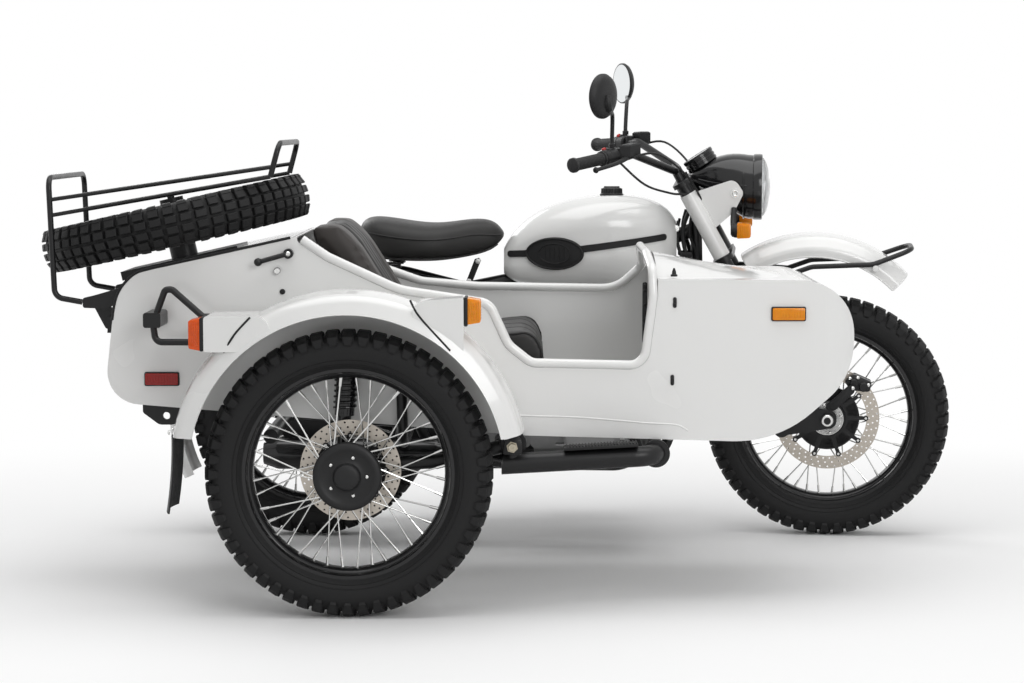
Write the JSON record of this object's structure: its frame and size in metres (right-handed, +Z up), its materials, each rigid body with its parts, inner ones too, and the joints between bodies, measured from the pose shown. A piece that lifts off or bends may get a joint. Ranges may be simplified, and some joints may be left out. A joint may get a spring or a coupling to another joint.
{
  "type": "sidecar motorcycle",
  "caption": "Classic twin-cylinder motorcycle with a one-seat sidecar on its right, lugged tyres, leading-link fork, hinged boot lid with spare wheel and luggage rack.",
  "frame": {"origin": "middle of the footprint on the ground under the three wheels", "axes": "+X forward along the direction of travel, +Y to the rider's left (the sidecar is on the -Y side), +Z up"},
  "size_m": [2.4307, 1.6983, 1.3556],
  "materials": {
    "white_paint": "gloss",
    "black_paint": "satin",
    "tyre": "matt",
    "wheel": "satin",
    "disc": "brushed",
    "black_plastic": "matt",
    "rubber": "matt",
    "engine": "cast",
    "exhaust": "satin",
    "leather": "matt",
    "lamp_glass": "clear",
    "mirror": "polished",
    "amber": "gloss",
    "red": "gloss"
  },
  "bodies": {
    "chassis": {"frame": "black_paint", "crankcase": "engine", "cylinders": "engine", "cylinder_heads": "engine", "carburettors": "engine", "exhaust": "exhaust", "swinging_arm": "black_paint", "rear_shocks": "black_paint", "fuel_tank": "white_paint", "tank_cap": "black_plastic", "tank_pads": "rubber", "saddle": "leather", "saddle_springs": "black_paint", "rear_fender": "white_paint", "side_boxes": "white_paint", "foot_pegs": "rubber", "tub": "white_paint", "cockpit_rim": "white_paint", "sidecar_cushion": "leather", "sidecar_backrest": "leather", "sidecar_frame": "black_paint", "step_plate": "rubber", "wheel_arm": "black_paint", "sidecar_mudguard": "white_paint", "mud_flap": "rubber", "red_lenses": "red", "amber_lenses": "amber", "tub_fittings": "black_paint"},
    "steering": {"fork": "black_paint", "fork_covers": "white_paint", "front_links": "black_paint", "front_shocks": "black_paint", "front_caliper": "black_paint", "headlamp_shell": "black_plastic", "headlamp_lens": "lamp_glass", "instrument": "black_plastic", "handlebar": "black_paint", "grips": "rubber", "hand_controls": "black_plastic", "mirrors": "black_plastic", "mirror_glass": "mirror", "flashers": "black_plastic", "flasher_lenses": "amber", "front_fender": "white_paint", "fender_bar": "black_paint"},
    "front_wheel": {"front_tyre": "tyre", "front_rim": "wheel", "front_disc": "disc"},
    "rear_wheel": {"rear_tyre": "tyre", "rear_rim": "wheel"},
    "sidecar_wheel": {"sidecar_tyre": "tyre", "sidecar_rim": "wheel", "sidecar_disc": "disc", "sidecar_hub_cap": "black_plastic"},
    "boot_lid": {"boot_lid": "white_paint", "spare_carrier": "black_paint", "spare_tyre": "tyre", "spare_rim": "wheel", "luggage_rack": "black_paint"}
  },
  "joints": [
    {"name": "steering", "type": "hinge", "parent": "chassis", "child": "steering", "pos_m": [0.4622, 0.3842, 1.008], "axis": [-0.4848, 0, 0.8746], "range_deg": [-31, 45]},
    {"name": "front_wheel_spin", "type": "hinge", "parent": "steering", "child": "front_wheel", "pos_m": [0.87196, 0.37966, 0.34497], "axis": [0.1066, 0.9925, 0.0591], "continuous": true},
    {"name": "rear_wheel_spin", "type": "hinge", "parent": "chassis", "child": "rear_wheel", "pos_m": [-0.5978, 0.3842, 0.3451], "axis": [0, 1, 0], "continuous": true},
    {"name": "sidecar_wheel_spin", "type": "hinge", "parent": "chassis", "child": "sidecar_wheel", "pos_m": [-0.4108, -0.7558, 0.3451], "axis": [0, 1, 0], "continuous": true},
    {"name": "boot_lid_hinge", "type": "hinge", "parent": "chassis", "child": "boot_lid", "pos_m": [-1.0378, -0.3398, 0.738], "axis": [0, -1, 0], "range_deg": [0, 70]}
  ]
}
